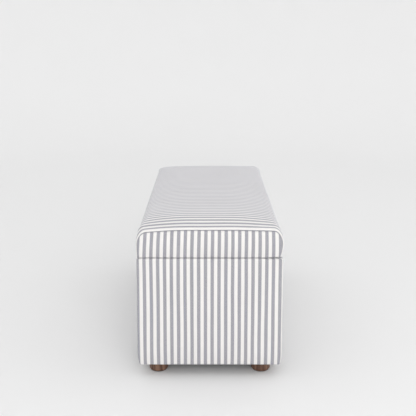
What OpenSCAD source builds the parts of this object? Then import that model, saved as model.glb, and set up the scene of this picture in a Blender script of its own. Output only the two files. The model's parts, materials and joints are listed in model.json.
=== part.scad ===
// Upholstered storage bench: a padded lid on three hinges and two gas struts, over a fabric-covered box.
// X is the long axis, the front is -Y, the hinges are at the back (+Y), and Z = 0 is the floor.

/* [Bench] */
// Length over the lid
bench_l = 1000; // [900:10:1100]
// Depth over the lid
bench_d = 450; // [430:5:480]
// Height of the body's underside above the floor
foot_h = 38; // [34:1:48]
// Height of the body, from its underside to its rim
body_h = 342; // [330:1:360]
// How far the body stands back from the widest line of the lid
body_set_in = 1.5; // [1:0.5:3]
// Radius of the vertical corners of the body and the lid
corner_r = 8; // [6:0.5:10]

/* [Body upholstery] */
// Radius of the padded rim
rim_r = 12; // [11:0.5:13]
// How far the fabric pulls in at the underside
hem_tuck = 6; // [3:0.5:6]
// Height over which it pulls in
hem_tuck_h = 45; // [35:1:60]
// Thickness of the wadding on the body
body_wadding_t = 6; // [6:0.5:8]
// Height of the fabric that is folded down inside the rim
flap_h = 32; // [24:1:40]

/* [Lid upholstery] */
// Gap between the rim and the closed lid
lid_gap = 3.2; // [3.2:0.1:4]
// Height from the lid's underside to its end seams
lid_side_h = 84; // [78:1:90]
// Rise of the seat from the end seams to the middle
crown_h = 18.8; // [14:0.2:22]
// Distance over which the seat rises
crown_run = 90; // [80:5:110]
// Corner radius of the lid's end panels
end_corner_r = 20; // [14:1:24]
// Radius of the bend at the end seams
seam_r = 4; // [3:0.5:5]
// Radius of the lid's bottom edge
lid_edge_r = 4; // [3:0.5:5]
// How far the lid's sides pull in at its underside
lid_tuck = 6.5; // [5:0.5:8]
// Height of the widest line of the long sides above the lid's underside
side_swell_h = 50; // [42:1:56]
// Height of the widest line of the ends above the lid's underside
end_swell_h = 38; // [34:1:44]
// Thickness of the wadding over the foam
lid_wadding_t = 5; // [4:0.5:6]

/* [Cloth] */
// Thickness of the striped fabric and of the cloths under the body and the lid
fabric_t = 1.5; // [1:0.1:1.5]
// Thickness of the lining
lining_t = 1; // [0.6:0.1:1.2]
// Width of the hems that are turned in under the body and the lid
hem_w = 40; // [32:1:44]

/* [Timber] */
// Thickness of the walls and of the lid board
panel_t = 15; // [14:1:16]
// Thickness of the bottom panel
bottom_t = 9; // [6:1:12]
// Height of the rails and corner blocks that carry the bottom panel
rail_h = 30; // [26:1:36]
// Width of the rails
rail_w = 28; // [22:1:30]

/* [Feet] */
// Diameter of a foot
foot_d = 60; // [54:1:66]
// Distance from the body's sides to the axis of a foot
foot_inset = 61.5; // [58:0.5:66]
// Thickness of the felt under a foot
felt_t = 2; // [1:0.5:3]

/* [Hinges] */
// Width of a hinge along the back
hinge_w = 64; // [56:2:72]
// Distance between neighbouring hinges
hinge_pitch = 360; // [320:10:380]
// Depth of a leaf, from the pin's axis to its front edge
leaf_d = 21; // [20:0.5:21.5]
// Thickness of a leaf
leaf_t = 1.2; // [1:0.1:1.2]
// Radius of the pin
pin_r = 1.5; // [1.4:0.1:1.6]

/* [Gas struts] */
// Distance from the hinge axis to both pivots of a strut
strut_r = 180; // [176:1:182]
// Angle of the body pivot below level, seen from the hinge axis
body_pivot_a = 74; // [73:1:75]
// Angle of the lid pivot below level with the lid closed
lid_pivot_a = 4.8; // [4.4:0.1:5.2]

/* [Hidden] */
$fn = 48;

// Levels
rim_z = foot_h + body_h;
lid_z = rim_z + lid_gap;
seam_z = lid_z + lid_side_h;
top_z = seam_z + crown_h;
panel_z = foot_h + fabric_t;
wall_z = panel_z + 1.5;
panel_play = 0.3;
bottom_z = panel_z + rail_h;
lining_z = bottom_z + bottom_t;
board_z = lid_z + fabric_t;

// Half sizes, as [X, Y]
lid_half = [bench_l, bench_d] / 2;
body_half = lid_half - [1, 1] * body_set_in;
skin_t = fabric_t + body_wadding_t;
wall_t = skin_t + panel_t;
rim_drop = rim_r - sqrt(pow(rim_r - fabric_t, 2) - pow(rim_r - skin_t, 2));
panel_top_z = rim_z - rim_drop - panel_play;
panel_half = body_half - [1, 1] * skin_t;
inner_half = body_half - [1, 1] * wall_t;
mouth_half = inner_half - [1, 1] * fabric_t;
underside_half = body_half - [1, 1] * (hem_tuck + hem_w);
board_half = lid_half - [1, 1] * (lid_tuck + fabric_t + 2.5);
lid_cloth_half = lid_half - [1, 1] * (lid_tuck + hem_w);
foam_inset = fabric_t + lid_wadding_t;

// Feet and their bolts
foot_at = body_half - [1, 1] * foot_inset;
block_w = 2 * (foot_inset - wall_t);
bolt_r = 4;
bolt_z = 12;
foot_edge_r = 3;
tee_barrel_r = 5;
tee_flange_r = 9.5;
tee_flange_t = 2;
tee_h = 12;

// Hinges
knuckle_r = 3.5;
knuckles = 5;
knuckle_play = 0.4;
leaf_play = 0.8;
pin_play = 0.05;
hinge_y = bench_d / 2 - knuckle_r;
hinge_z = rim_z + lid_gap / 2;
hinge_screw_y = panel_half.y - panel_t / 2;
screw_pitch = 21;

// Struts
eye_r = 7;
eye_w = 8;
neck_r = 4;
stud_r = 3;
tube_r = 7.5;
tube_wall = 1.2;
tube_l = 188;
tube_start = 14;
guide_t = 6;
rod_r = 3;
rod_l = 180;
piston_t = 8;
plate_t = 2;
strut_x = inner_half.x - 15;
strut_l = 2 * strut_r * sin((body_pivot_a - lid_pivot_a) / 2);
strut_tilt = (body_pivot_a + lid_pivot_a) / 2;
body_pivot = strut_pivot(body_pivot_a);
lid_pivot = strut_pivot(lid_pivot_a);

// Staples
staple = [10, 1.2, 0.6];
staple_pitch = 80;
staple_edge = 5;

// Colours
striped = [0.84, 0.83, 0.84];
walnut = [0.36, 0.26, 0.21];
plywood = [0.80, 0.68, 0.50];
foam_yellow = [0.93, 0.88, 0.70];
wadding_white = [0.95, 0.95, 0.94];
lining_grey = [0.72, 0.71, 0.70];
cloth_black = [0.12, 0.12, 0.13];
felt_brown = [0.30, 0.26, 0.23];
steel = [0.70, 0.71, 0.72];
dark_steel = [0.22, 0.22, 0.24];
rubber_clear = [0.82, 0.82, 0.80];

// ---- Outlines and forms ----

// Points of an arc, from angle a to angle b
function arc(centre, r, a, b, steps = 8) =
    [for (i = [0:steps]) let (t = a + (b - a) * i / steps) centre + r * [cos(t), sin(t)]];

function angle_of(v) = atan2(v.y, v.x);

// A right-hand outline closed by its mirror image
function both_halves(right) =
    concat(right, [for (i = [len(right) - 1:-1:0]) [-right[i].x, right[i].y]]);

// Radius of an arc that leaves a line by a given distance over a given run
function arc_radius(run, leave) = (run * run + leave * leave) / (2 * leave);

// The outer of the two points that are r1 from c1 and r2 from c2
function outer_meeting(c1, r1, c2, r2) =
    let (
        d = norm(c2 - c1),
        u = (c2 - c1) / d,
        along = (r1 * r1 - r2 * r2 + d * d) / (2 * d),
        across = sqrt(r1 * r1 - along * along)
    )
    c1 + along * u + across * [-u.y, u.x];

// Centre of the small arc that joins a side arc to a level underside
function edge_centre(side_c, side_r, z, r) =
    [side_c.x + sqrt(pow(side_r - r, 2) - pow(z + r - side_c.y, 2)), z + r];

// Section of the body: pulled in at the underside, upright, and rounded at the rim
function body_outline(half, inset) =
    let (
        side_full_r = arc_radius(hem_tuck_h, hem_tuck),
        side_c = [half - side_full_r, foot_h + hem_tuck_h],
        edge_r = max(3 - inset, 0.5),
        edge_c = edge_centre(side_c, side_full_r - inset, foot_h + inset, edge_r),
        rim_c = [half - rim_r, rim_z - rim_r]
    )
    both_halves(concat(
        arc(edge_c, edge_r, -90, angle_of(edge_c - side_c), 4),
        arc(side_c, side_full_r - inset, angle_of(edge_c - side_c), 0),
        arc(rim_c, rim_r - inset, 0, 90)
    ));

// Section of the lid: swollen sides, a corner arc, and a crown that runs up to the flat of the seat
function lid_outline(half, swell_h, top_corner_r, inset) =
    let (
        side_full_r = arc_radius(swell_h, lid_tuck),
        side_c = [half - side_full_r, lid_z + swell_h],
        side_r = side_full_r - inset,
        seam_set_in = side_full_r - sqrt(pow(side_full_r, 2) - pow(lid_side_h - swell_h, 2)),
        crown_full_r = arc_radius(crown_run, crown_h),
        crown_c = [half - seam_set_in - crown_run, top_z - crown_full_r],
        crown_r = crown_full_r - inset,
        edge_r = max(lid_edge_r - inset, 0.5),
        edge_c = edge_centre(side_c, side_r, lid_z + inset, edge_r),
        top_r = max(top_corner_r - inset, 0.5),
        top_c = outer_meeting(side_c, side_r - top_r, crown_c, crown_r - top_r)
    )
    both_halves(concat(
        arc(edge_c, edge_r, -90, angle_of(edge_c - side_c), 4),
        arc(side_c, side_r, angle_of(edge_c - side_c), angle_of(top_c - side_c)),
        arc(top_c, top_r, angle_of(top_c - side_c), angle_of(top_c - crown_c), 6),
        arc(crown_c, crown_r, angle_of(top_c - crown_c), 90)
    ));

// An outline in Y and Z, along the whole length
module along_x(outline) {
    rotate([90, 0, 90])
        linear_extrude(bench_l + 2, center = true)
            polygon(outline);
}

// An outline in X and Z, across the whole depth
module along_y(outline) {
    rotate([90, 0, 0])
        linear_extrude(bench_d + 2, center = true)
            polygon(outline);
}

module rounded_plan(half, r) {
    square([2 * half.x, 2 * (half.y - r)], center = true);
    square([2 * (half.x - r), 2 * half.y], center = true);
    for (x = [-1, 1], y = [-1, 1])
        translate([x * (half.x - r), y * (half.y - r)])
            circle(r);
}

// The body as a solid, with its surface moved in by inset
module body_form(inset) {
    intersection() {
        along_x(body_outline(body_half.y, inset));
        along_y(body_outline(body_half.x, inset));
        linear_extrude(rim_z)
            rounded_plan(body_half - [1, 1] * inset, corner_r - inset);
    }
}

// The lid as a solid, with its surface moved in by inset
module lid_form(inset) {
    intersection() {
        along_x(lid_outline(lid_half.y, side_swell_h, end_corner_r, inset));
        along_y(lid_outline(lid_half.x, end_swell_h, seam_r, inset));
        linear_extrude(top_z)
            rounded_plan(lid_half - [1, 1] * inset, corner_r - inset);
    }
}

// A block between two levels, centred on Z
module slab(half, z0, z1) {
    translate([-half.x, -half.y, z0])
        cube([2 * half.x, 2 * half.y, z1 - z0]);
}

module rod_along_x(x0, x1, r) {
    translate([min(x0, x1), 0, 0])
        rotate([0, 90, 0])
            cylinder(h = abs(x1 - x0), r = r);
}

// ---- Timber ----

module long_panel(side) color(plywood) {
    translate([-panel_half.x, side > 0 ? inner_half.y : -panel_half.y, wall_z])
        cube([2 * panel_half.x, panel_t, panel_top_z - wall_z]);
}

module end_panel(side) color(plywood) {
    translate([side > 0 ? inner_half.x : -panel_half.x, -inner_half.y, wall_z])
        cube([panel_t, 2 * inner_half.y, panel_top_z - wall_z]);
}

module bottom_panel() color(plywood) {
    slab(inner_half, bottom_z, lining_z);
}

module long_rail(side) color(plywood) {
    translate([0, side * (inner_half.y - rail_w / 2), 0])
        slab([inner_half.x - block_w, rail_w / 2], panel_z, bottom_z);
}

module end_rail(side) color(plywood) {
    translate([side * (inner_half.x - rail_w / 2), 0, 0])
        slab([rail_w / 2, inner_half.y - block_w], panel_z, bottom_z);
}

module centre_rail() color(plywood) {
    slab([rail_w / 2, inner_half.y - rail_w], panel_z, bottom_z);
}

// Carries a foot: drilled for the tee nut's barrel and recessed for its flange
module corner_block(side_x, side_y) color(plywood) {
    translate([side_x * foot_at.x, side_y * foot_at.y, 0])
        difference() {
            slab([block_w, block_w] / 2, panel_z, bottom_z);
            translate([0, 0, panel_z - 1])
                cylinder(h = rail_h + 2, r = tee_barrel_r);
            translate([0, 0, bottom_z - tee_flange_t])
                cylinder(h = tee_flange_t + 1, r = tee_flange_r);
        }
}

// ---- Feet ----

module at_feet() {
    for (x = [-1, 1], y = [-1, 1])
        translate([x * foot_at.x, y * foot_at.y, 0])
            children();
}

// Half section of a foot, with its bottom edge rounded
function foot_section() =
    concat(
        [[0, felt_t]],
        arc([foot_d / 2 - foot_edge_r, felt_t + foot_edge_r], foot_edge_r, -90, 0, 6),
        arc([foot_d / 2 - 1, foot_h - 1], 1, 0, 90, 3),
        [[0, foot_h]]
    );

module foot(side_x, side_y) color(walnut) {
    translate([side_x * foot_at.x, side_y * foot_at.y, 0])
        difference() {
            rotate_extrude($fn = 96)
                polygon(foot_section());
            translate([0, 0, bolt_z])
                cylinder(h = foot_h, r = bolt_r);
        }
}

module foot_felts() color(felt_brown) {
    at_feet()
        cylinder(h = felt_t, r = foot_d / 2 - foot_edge_r);
}

module hanger_bolts() color(steel) {
    at_feet()
        translate([0, 0, bolt_z])
            cylinder(h = bottom_z - 3 - bolt_z, r = bolt_r);
}

module tee_nuts() color(steel) {
    at_feet()
        difference() {
            union() {
                translate([0, 0, bottom_z - tee_h])
                    cylinder(h = tee_h, r = tee_barrel_r);
                translate([0, 0, bottom_z - tee_flange_t])
                    cylinder(h = tee_flange_t, r = tee_flange_r);
            }
            translate([0, 0, bottom_z - tee_h - 1])
                cylinder(h = tee_h + 2, r = bolt_r);
        }
}

// Screws through the long panels into the edges of the end panels
module panel_screws() color(steel) {
    screw_x = panel_half.x - panel_t / 2;
    for (x = [-screw_x, screw_x], side = [-1, 1], z = [1:4])
        translate([x, side * panel_half.y, wall_z + z * (panel_top_z - wall_z) / 5])
            rotate([side * 90, 0, 0]) {
                cylinder(h = 45, r = 2);
                cylinder(h = 2, r = 4);
            }
}

// ---- Upholstery of the body ----

module long_wadding(side) color(wadding_white) {
    intersection() {
        body_form(fabric_t);
        translate([0, side * (panel_half.y + skin_t), 0])
            slab([bench_l, skin_t], 0, top_z);
    }
}

module end_wadding(side) color(wadding_white) {
    intersection() {
        body_form(fabric_t);
        translate([side * (panel_half.x + skin_t), 0, 0])
            slab([skin_t, panel_half.y], 0, top_z);
    }
}

// Striped fabric over the sides and the rim, folded down inside and turned in underneath
module body_cover() color(striped) {
    difference() {
        union() {
            difference() {
                body_form(0);
                body_form(fabric_t);
            }
            slab(inner_half, rim_z - flap_h, rim_z - fabric_t / 2);
        }
        slab(mouth_half, rim_z - flap_h - 1, rim_z + 1);
        slab(underside_half, foot_h - 1, foot_h + fabric_t + 1);
    }
}

module lining() color(lining_grey) {
    difference() {
        slab(inner_half, lining_z, rim_z - flap_h);
        slab(inner_half - [1, 1] * lining_t, lining_z + lining_t, rim_z);
    }
}

module dust_cover() color(cloth_black) {
    difference() {
        slab(underside_half, foot_h, foot_h + fabric_t);
        at_feet()
            translate([0, 0, foot_h - 1])
                cylinder(h = fabric_t + 2, r = tee_barrel_r);
    }
}

// Rows of staples along the edges of a cloth, out to a reach from its middle, with their backs at level z
module staple_ring(half, reach, z) {
    edge = half - [1, 1] * staple_edge;
    long_n = floor(reach.x / staple_pitch);
    short_n = floor(reach.y / staple_pitch);
    for (side = [-1, 1], i = [-long_n:long_n])
        translate([i * staple_pitch, side * edge.y, z - staple.z / 2])
            cube(staple, center = true);
    for (side = [-1, 1], i = [-short_n:short_n])
        translate([side * edge.x, i * staple_pitch, z - staple.z / 2])
            rotate([0, 0, 90])
                cube(staple, center = true);
}

module underside_staples() color(steel) {
    staple_ring(underside_half, foot_at - [1, 1] * (foot_d / 2 + staple.x), foot_h);
}

module lid_bumpers() color(rubber_clear) {
    rim_mid = body_half - [1, 1] * (rim_r + wall_t) / 2;
    places = [
        [0.84 * rim_mid.x, -rim_mid.y], [-0.84 * rim_mid.x, -rim_mid.y],
        [rim_mid.x, 0.5 * rim_mid.y], [-rim_mid.x, 0.5 * rim_mid.y],
    ];
    for (p = places)
        translate([p.x, p.y, rim_z])
            cylinder(h = lid_gap - 0.3, r = 4.5);
}

// ---- Lid ----

module lid_board() color(plywood) {
    slab(board_half, board_z, board_z + panel_t);
}

module lid_foam() color(foam_yellow) {
    intersection() {
        lid_form(foam_inset);
        slab(lid_half, board_z + panel_t, top_z);
    }
}

// Wadding over the foam and round the edges of the board
module lid_wadding() color(wadding_white) {
    difference() {
        lid_form(fabric_t);
        lid_foam();
        lid_board();
    }
}

module lid_skin() {
    difference() {
        lid_form(0);
        lid_form(fabric_t);
        slab(lid_cloth_half, lid_z - 1, board_z + 1);
    }
}

// The part of the skin that belongs to an end panel: past the end seam and inside the seam's outline
module end_cover_zone(side) {
    end_full_r = arc_radius(end_swell_h, lid_tuck);
    seam_x = lid_half.x - end_full_r + sqrt(pow(end_full_r, 2) - pow(lid_side_h - end_swell_h, 2));
    intersection() {
        along_x(lid_outline(lid_half.y, side_swell_h, end_corner_r, fabric_t));
        translate([side * (seam_x - fabric_t + lid_half.x), 0, 0])
            slab([lid_half.x, lid_half.y], 0, top_z);
    }
}

// One length of fabric over the seat and down both long sides
module lid_top_cover() color(striped) {
    difference() {
        lid_skin();
        end_cover_zone(-1);
        end_cover_zone(1);
    }
}

module end_cover(side) color(striped) {
    intersection() {
        lid_skin();
        end_cover_zone(side);
    }
}

module lid_underside_cover() color(cloth_black) {
    slab(lid_cloth_half, lid_z, board_z);
}

module lid_staples() color(steel) {
    staple_ring(lid_cloth_half, lid_cloth_half - [1, 1] * staple.x, lid_z);
}

// ---- Hinges ----

module at_hinges() {
    for (i = [-1:1])
        translate([i * hinge_pitch, 0, 0])
            children();
}

module at_leaf_screws() {
    for (i = [-1:1])
        translate([i * screw_pitch, hinge_screw_y, hinge_z])
            children();
}

// One leaf with its own knuckles: side 1 is the lid's leaf, side -1 the body's
module hinge_leaf(place, side) color(dark_steel) {
    first = side > 0 ? 1 : 0;
    knuckle_w = hinge_w / knuckles;
    leaf_z = lid_gap / 2 - leaf_t;
    translate([place * hinge_pitch, 0, 0])
        difference() {
            union() {
                translate([-hinge_w / 2, hinge_y - leaf_d, hinge_z + (side > 0 ? leaf_z : -lid_gap / 2)])
                    cube([hinge_w, leaf_d - knuckle_r - leaf_play, leaf_t]);
                for (i = [first:2:knuckles - 1])
                    translate([-hinge_w / 2 + i * knuckle_w + knuckle_play / 2, hinge_y, hinge_z]) {
                        rod_along_x(0, knuckle_w - knuckle_play, knuckle_r);
                        translate([0, -knuckle_r - 1, side > 0 ? leaf_z : -lid_gap / 2])
                            cube([knuckle_w - knuckle_play, knuckle_r + 1, leaf_t]);
                    }
            }
            translate([0, hinge_y, hinge_z])
                rod_along_x(-hinge_w, hinge_w, side > 0 ? pin_r + pin_play : pin_r);
            at_leaf_screws() {
                cylinder(h = 2 * lid_gap, r = 1.7, center = true);
                translate([0, 0, side > 0 ? 0 : -lid_gap / 2 + 0.3])
                    cylinder(h = lid_gap / 2 - 0.3, r = 3.1);
            }
        }
}

module hinge_pins() color(steel) {
    at_hinges()
        translate([0, hinge_y, hinge_z])
            rod_along_x(-hinge_w / 2, hinge_w / 2, pin_r);
}

// Countersunk screws: side 1 goes up into the lid board, side -1 down into the back panel
module hinge_screws(side) color(steel) {
    at_hinges()
        at_leaf_screws()
            mirror([0, 0, side > 0 ? 0 : 1])
                translate([0, 0, lid_gap / 2 - leaf_t]) {
                    cylinder(h = 14, r = 1.6);
                    cylinder(h = leaf_t - 0.3, r = 3);
                }
}

// ---- Gas struts ----

// Position of a pivot in Y and Z, at an angle below level in front of the hinge axis
function strut_pivot(below) =
    [hinge_y - strut_r * cos(below), hinge_z - strut_r * sin(below)];

// Puts +Z along a strut, from its body pivot to its lid pivot
module along_strut(side) {
    translate([side * strut_x, body_pivot.x, body_pivot.y])
        rotate([strut_tilt, 0, 0])
            children();
}

// Half section of the tube: closed at the foot, with a guide for the rod at its mouth
function tube_section() = [
    [0, tube_start],
    [tube_r, tube_start],
    [tube_r, tube_l],
    [rod_r + pin_play, tube_l],
    [rod_r + pin_play, tube_l - guide_t],
    [tube_r - tube_wall, tube_l - guide_t],
    [tube_r - tube_wall, tube_start + 4],
    [0, tube_start + 4],
];

module strut_tube(side) color(dark_steel) {
    along_strut(side)
        difference() {
            union() {
                rod_along_x(-eye_w / 2, eye_w / 2, eye_r);
                cylinder(h = tube_start + 1, r = neck_r);
                rotate_extrude()
                    polygon(tube_section());
            }
            rod_along_x(-eye_w, eye_w, stud_r + pin_play);
        }
}

module strut_rod(side) color(steel) {
    along_strut(side)
        translate([0, 0, strut_l])
            difference() {
                union() {
                    rod_along_x(-eye_w / 2, eye_w / 2, eye_r);
                    mirror([0, 0, 1]) {
                        cylinder(h = strut_l - tube_l - 2, r = neck_r);
                        cylinder(h = rod_l, r = rod_r);
                        translate([0, 0, rod_l - piston_t / 2])
                            cylinder(h = piston_t, r = tube_r - tube_wall - pin_play);
                    }
                }
                rod_along_x(-eye_w, eye_w, stud_r + pin_play);
            }
}

// A stud from a plate at x = 0 through an eye, with a shoulder and a clip
module strut_stud(reach) {
    eye_0 = reach - eye_w / 2;
    eye_1 = reach + eye_w / 2;
    rod_along_x(0, -eye_0 + 0.3, 4.5);
    rod_along_x(0, -eye_1 - 3, stud_r);
    rod_along_x(-eye_1 - 0.3, -eye_1 - 2, 5);
}

module strut_body_bracket(side) color(dark_steel) {
    plate_x = inner_half.x - lining_t - plate_t;
    mirror([side > 0 ? 0 : 1, 0, 0])
        translate([plate_x, body_pivot.x, body_pivot.y]) {
            translate([0, -14, -22])
                cube([plate_t, 28, 44]);
            strut_stud(plate_x - strut_x);
        }
}

module strut_body_screws() color(steel) {
    plate_x = inner_half.x - lining_t - plate_t;
    for (side = [0, 1], z = [-15, 15])
        mirror([side, 0, 0])
            translate([plate_x, body_pivot.x, body_pivot.y + z]) {
                rod_along_x(0, 14, 1.8);
                rod_along_x(-1.5, 0, 3.5);
            }
}

// An angle: its flange is screwed under the lid, and its ear carries the stud
module strut_lid_bracket(side) color(dark_steel) {
    ear_x = strut_x + 7.5;
    drop = lid_z - lid_pivot.y;
    mirror([side > 0 ? 0 : 1, 0, 0])
        translate([ear_x, lid_pivot.x, lid_pivot.y]) {
            translate([-28, -18, drop - plate_t])
                cube([28 + plate_t, 36, plate_t]);
            translate([0, -9, 0])
                cube([plate_t, 18, drop]);
            rod_along_x(0, plate_t, 9);
            strut_stud(ear_x - strut_x);
        }
}

module strut_lid_screws() color(steel) {
    for (side = [0, 1], y = [-12, 12])
        mirror([side, 0, 0])
            translate([strut_x - 14, lid_pivot.x + y, lid_z - plate_t]) {
                cylinder(h = 13, r = 1.8);
                translate([0, 0, -1.5])
                    cylinder(h = 1.5, r = 3.5);
            }
}

// ---- Nodes ----

long_panel(-1);  // front_panel
long_panel(1);  // back_panel
end_panel(-1);  // left_end_panel
end_panel(1);  // right_end_panel
bottom_panel();
long_rail(-1);  // front_rail
long_rail(1);  // back_rail
end_rail(-1);  // left_end_rail
end_rail(1);  // right_end_rail
centre_rail();
corner_block(-1, -1);  // front_left_corner_block
corner_block(1, -1);  // front_right_corner_block
corner_block(-1, 1);  // back_left_corner_block
corner_block(1, 1);  // back_right_corner_block
foot(-1, -1);  // front_left_foot
foot(1, -1);  // front_right_foot
foot(-1, 1);  // back_left_foot
foot(1, 1);  // back_right_foot
foot_felts();
hanger_bolts();
tee_nuts();
panel_screws();
long_wadding(-1);  // front_wadding
long_wadding(1);  // back_wadding
end_wadding(-1);  // left_end_wadding
end_wadding(1);  // right_end_wadding
body_cover();
lining();
dust_cover();
underside_staples();
lid_bumpers();
hinge_leaf(-1, -1);  // left_hinge_body_leaf
hinge_leaf(0, -1);  // middle_hinge_body_leaf
hinge_leaf(1, -1);  // right_hinge_body_leaf
hinge_pins();
hinge_screws(-1);  // hinge_body_screws
strut_body_bracket(-1);  // left_strut_body_bracket
strut_body_bracket(1);  // right_strut_body_bracket
strut_body_screws();
lid_board();
lid_foam();
lid_wadding();
lid_top_cover();
end_cover(-1);  // left_end_cover
end_cover(1);  // right_end_cover
lid_underside_cover();
lid_staples();
hinge_leaf(-1, 1);  // left_hinge_lid_leaf
hinge_leaf(0, 1);  // middle_hinge_lid_leaf
hinge_leaf(1, 1);  // right_hinge_lid_leaf
hinge_screws(1);  // hinge_lid_screws
strut_lid_bracket(-1);  // left_strut_lid_bracket
strut_lid_bracket(1);  // right_strut_lid_bracket
strut_lid_screws();
strut_tube(-1);  // left_strut_tube
strut_rod(-1);  // left_strut_rod
strut_tube(1);  // right_strut_tube
strut_rod(1);  // right_strut_rod
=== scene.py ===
"""Looks of the storage bench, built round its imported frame: upholstery, cloths, feet and hardware."""
import json
from math import atan, copysign, cos, pi, radians, sin

import bpy
import numpy as np
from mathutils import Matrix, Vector, noise


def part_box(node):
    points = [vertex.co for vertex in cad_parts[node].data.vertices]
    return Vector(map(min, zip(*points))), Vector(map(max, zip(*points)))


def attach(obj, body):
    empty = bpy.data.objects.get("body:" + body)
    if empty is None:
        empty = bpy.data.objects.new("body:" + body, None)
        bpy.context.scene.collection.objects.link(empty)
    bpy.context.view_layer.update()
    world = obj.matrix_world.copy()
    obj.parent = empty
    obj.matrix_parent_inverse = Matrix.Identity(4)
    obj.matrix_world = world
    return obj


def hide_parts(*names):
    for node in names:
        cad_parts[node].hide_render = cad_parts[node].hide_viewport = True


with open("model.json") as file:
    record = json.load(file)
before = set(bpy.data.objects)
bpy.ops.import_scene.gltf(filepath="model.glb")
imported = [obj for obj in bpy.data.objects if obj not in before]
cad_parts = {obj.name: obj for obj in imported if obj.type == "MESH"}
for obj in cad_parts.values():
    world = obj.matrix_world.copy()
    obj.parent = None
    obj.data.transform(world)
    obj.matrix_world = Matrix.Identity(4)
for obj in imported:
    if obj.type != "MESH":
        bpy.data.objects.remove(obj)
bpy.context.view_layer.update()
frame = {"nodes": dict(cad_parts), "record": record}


# ---- Sizes, in metres ----

def joined_box(*nodes):
    """Lowest and highest corner of several CAD nodes together."""
    boxes = [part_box(n) for n in nodes]
    low = [min(b[0][i] for b in boxes) for i in range(3)]
    high = [max(b[1][i] for b in boxes) for i in range(3)]
    return low, high


LID_LOW, LID_HIGH = joined_box("lid_top_cover", "left_end_cover", "right_end_cover")
BODY_LOW, BODY_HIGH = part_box("body_cover")
LINING_LOW, LINING_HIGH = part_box("lining")
LID_CLOTH_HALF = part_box("lid_underside_cover")[1].xy
DUST_CLOTH_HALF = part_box("dust_cover")[1].xy

LID_Z = LID_LOW[2]
TOP_Z = LID_HIGH[2]
LID_HALF = Vector((LID_HIGH[0], LID_HIGH[1]))
BODY_HALF = BODY_HIGH.xy
UNDERSIDE_Z = BODY_LOW.z
RIM_Z = BODY_HIGH.z
FOAM_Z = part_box("lid_board")[1].z + 0.0002

CLOTH_T = 0.0014
STRIPE_PITCH = 0.0207

# Body: its rim, the bead of padding along it, the fold inside, the hem below and the upright corners
RIM_R = 0.0045
RIM_BEAD = 0.0009
RIM_BEAD_W = 0.020
INNER_RIM_R = 0.004
MOUTH_IN = BODY_HALF.x - LINING_HIGH.x + 0.0015
FLAP_H = RIM_Z - LINING_HIGH.z
HEM_TUCK = 0.006
HEM_TUCK_H = 0.045
HEM_EDGE_R = 0.003
HEM_W = BODY_HALF.x - HEM_TUCK - DUST_CLOTH_HALF.x
BODY_CORNER_R = 0.008
SHARPEST_R = 0.0015

# Lid seams: their height, and how the top cover rolls over to them
SEAM_H = 0.084
SEAM_BEND_R = 0.0085
SIDE_BEND_R = 0.0055
SEAM_ANGLE = radians(78)
SEAM_IN = SEAM_BEND_R * (1 - cos(SEAM_ANGLE))
SEAM_DIP = 0.0011
FRONT_ARCH = 0.0065
BACK_ARCH = 0.0025

# Lid crown: it rises from the shoulder over these runs from an end and from a side
SHOULDER_Z = LID_Z + SEAM_H + SEAM_IN
CROWN_RUN = 0.090
CROSS_RUN = 0.150

# Corners between the seat and the long sides: at a seam, and filled out behind it
SIDE_CORNER_W = 0.030
SIDE_CORNER_H = 0.042
FULL_CORNER_W = 0.018
FULL_CORNER_H = 0.022

# Lid sides: the bottom edge, and how far each side draws in away from its widest line
EDGE_R = 0.0032
EDGE_DROOP = 0.0022
EDGE_DROOP_W = 0.012
HINGE_SIDE_FADE = 0.040
SIDE_SWELL_H = 0.050
END_SWELL_H = 0.038
END_TUCK = 0.0065
FRONT_TUCK = 0.0020
BACK_TUCK = 0.0080

# Where the stripes fall: the middle of a white one, from the middle of an end and from a lid seam
END_STRIPE_SHIFT = 0.0028
TOP_STRIPE_START = 0.0081
END_STRIPE_LEAN = 0.0015
END_STRIPE_GATHER = 0.0115
SEAT_SOFTENING = 0.5

# Padding: gaps under the covers, and how the simulation of the lid's covers is kept in bounds
WADDING_GAP = 0.0012
WALL_WADDING_GAP = 0.0009
WALL_WADDING_CLEAR = 0.0007
FOAM_INSET = 0.0085
SIM_SWELL = 0.0015
SIM_CAP = 0.0035
SIM_FRAMES = 20
SIM_ROUNDS = 24
SIM_FADE = 0.04
SIM_STILL = 0.3
SEAT_WAVE = 0.0007
CLOTH_SETTINGS = dict(
    quality=6, mass=0.35, tension_stiffness=30, compression_stiffness=30, shear_stiffness=8,
    bending_stiffness=6, air_damping=3, use_pressure=True, uniform_pressure_force=4)


# ---- Mesh helpers ----

def placed(name, data):
    """A new object in the scene."""
    made = bpy.data.objects.new(name, data)
    bpy.context.scene.collection.objects.link(made)
    return made


def new_piece(name, points, faces, material, body, replaces=(), uv=None):
    """A smooth mesh piece that rides on a CAD body. uv has (u, v) in metres for each point."""
    mesh = bpy.data.meshes.new(name)
    mesh.from_pydata([tuple(p) for p in points], [], faces)
    mesh.polygons.foreach_set("use_smooth", [True] * len(mesh.polygons))
    if uv is not None:
        layer = mesh.uv_layers.new(name="Fabric")
        corner = np.zeros(len(mesh.loops), np.int32)
        mesh.loops.foreach_get("vertex_index", corner)
        layer.data.foreach_set("uv", np.asarray(uv, np.float32)[corner].ravel())
    mesh.materials.append(material)
    piece = placed(name, mesh)
    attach(piece, body)
    if replaces:
        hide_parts(*replaces)
    return piece


def grid_faces(index, flip=False):
    """Quads over a 2-D array of point numbers, leaving out those that have shrunk to a line."""
    faces = []
    for a, b in zip(index[:-1], index[1:]):
        for j in range(len(a) - 1):
            quad = [a[j], a[j + 1], b[j + 1], b[j]]
            if len(set(quad)) > 2:
                faces.append(tuple(reversed(quad)) if flip else tuple(quad))
    return faces


def grid_index(rows, columns):
    """Point numbers of a grid, row by row."""
    return np.arange(rows * columns).reshape(rows, columns).tolist()


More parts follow.
